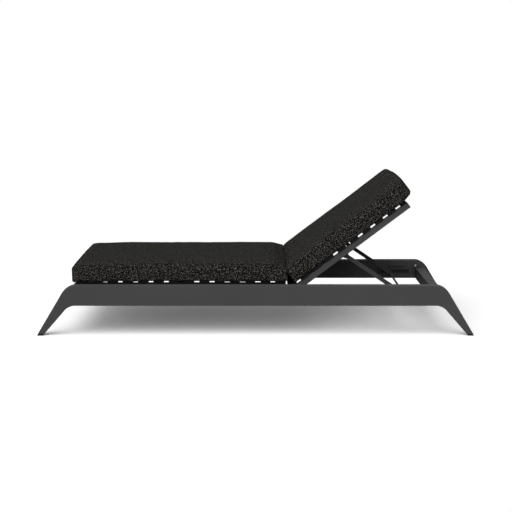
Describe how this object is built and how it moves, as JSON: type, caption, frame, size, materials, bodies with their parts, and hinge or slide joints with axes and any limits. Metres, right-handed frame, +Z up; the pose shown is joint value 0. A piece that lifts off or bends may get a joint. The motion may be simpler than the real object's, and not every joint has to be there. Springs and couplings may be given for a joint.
{
  "type": "reclining lounger",
  "caption": "Low lounger with a metal frame on splayed legs, slatted seat, backrest held up by a prop in toothed racks, and two loose cushions.",
  "frame": {"origin": "on the floor under the middle of the footprint", "axes": "+X from the foot end to the head end, +Y to the sitter's right, +Z up"},
  "size_m": [2.0614, 0.74, 0.7242],
  "materials": {
    "frame_coating": "charcoal powder coating, fine texture, satin",
    "slat_coating": "charcoal powder coating, fine texture, satin",
    "bracket_coating": "charcoal powder coating on steel, satin",
    "stainless": "plain turned stainless steel",
    "black_plastic": "moulded black polymer, matt",
    "nylon": "turned black nylon",
    "rubber": "black rubber, matt",
    "cushion_fabric": "heathered near-black outdoor weave over foam"
  },
  "bodies": {
    "frame": {"corner_brackets": "bracket_coating", "foot_cross_bar": "frame_coating", "foot_leg_left": "frame_coating", "foot_leg_right": "frame_coating", "frame_screws": "stainless", "frame_spacers": "nylon", "head_cross_bar": "frame_coating", "head_leg_left": "frame_coating", "head_leg_right": "frame_coating", "hinge_cross_bar": "frame_coating", "hinge_nuts": "stainless", "hinge_pins": "stainless", "leg_glides": "black_plastic", "mid_cross_bar": "frame_coating", "rack_left": "bracket_coating", "rack_right": "bracket_coating", "rest_pads": "rubber", "seat_bearer_left": "frame_coating", "seat_bearer_right": "frame_coating", "seat_cushion": "cushion_fabric", "seat_slat_01": "slat_coating", "seat_slat_02": "slat_coating", "seat_slat_03": "slat_coating", "seat_slat_04": "slat_coating", "seat_slat_05": "slat_coating", "seat_slat_06": "slat_coating", "seat_slat_07": "slat_coating", "seat_slat_08": "slat_coating", "seat_slat_09": "slat_coating", "seat_slat_10": "slat_coating", "seat_slat_11": "slat_coating", "seat_slat_12": "slat_coating", "seat_slat_13": "slat_coating", "seat_slat_14": "slat_coating", "seat_slat_plugs": "black_plastic", "side_rail_left": "frame_coating", "side_rail_right": "frame_coating"},
    "backrest": {"back_bar_caps": "black_plastic", "back_bar_left": "frame_coating", "back_bar_right": "frame_coating", "back_cushion": "cushion_fabric", "back_head_slat": "slat_coating", "back_slat_01": "slat_coating", "back_slat_02": "slat_coating", "back_slat_03": "slat_coating", "back_slat_04": "slat_coating", "back_slat_05": "slat_coating", "back_slat_06": "slat_coating", "back_slat_07": "slat_coating", "back_slat_08": "slat_coating", "back_slat_09": "slat_coating", "back_slat_plugs": "black_plastic", "hinge_bushes": "nylon", "prop_bolts": "bracket_coating", "prop_lugs": "bracket_coating", "prop_nuts": "bracket_coating"},
    "prop": {"prop_arm_left": "bracket_coating", "prop_arm_right": "bracket_coating", "prop_rod": "bracket_coating", "prop_rod_caps": "black_plastic"}
  },
  "joints": [
    {"name": "backrest_recline", "type": "hinge", "parent": "frame", "child": "backrest", "pos_m": [0.2037, 0, 0.2255], "axis": [0, -1, 0], "range_deg": [-37.24, 7.76]},
    {"name": "prop_swing", "type": "hinge", "parent": "backrest", "child": "prop", "pos_m": [0.42863, 0, 0.36948], "axis": [0, 1, 0], "range_deg": [-67.87, 14.54]}
  ],
  "couplings": [
    {"joint": "prop_swing", "follows": "backrest_recline", "ratio": 1.809}
  ]
}
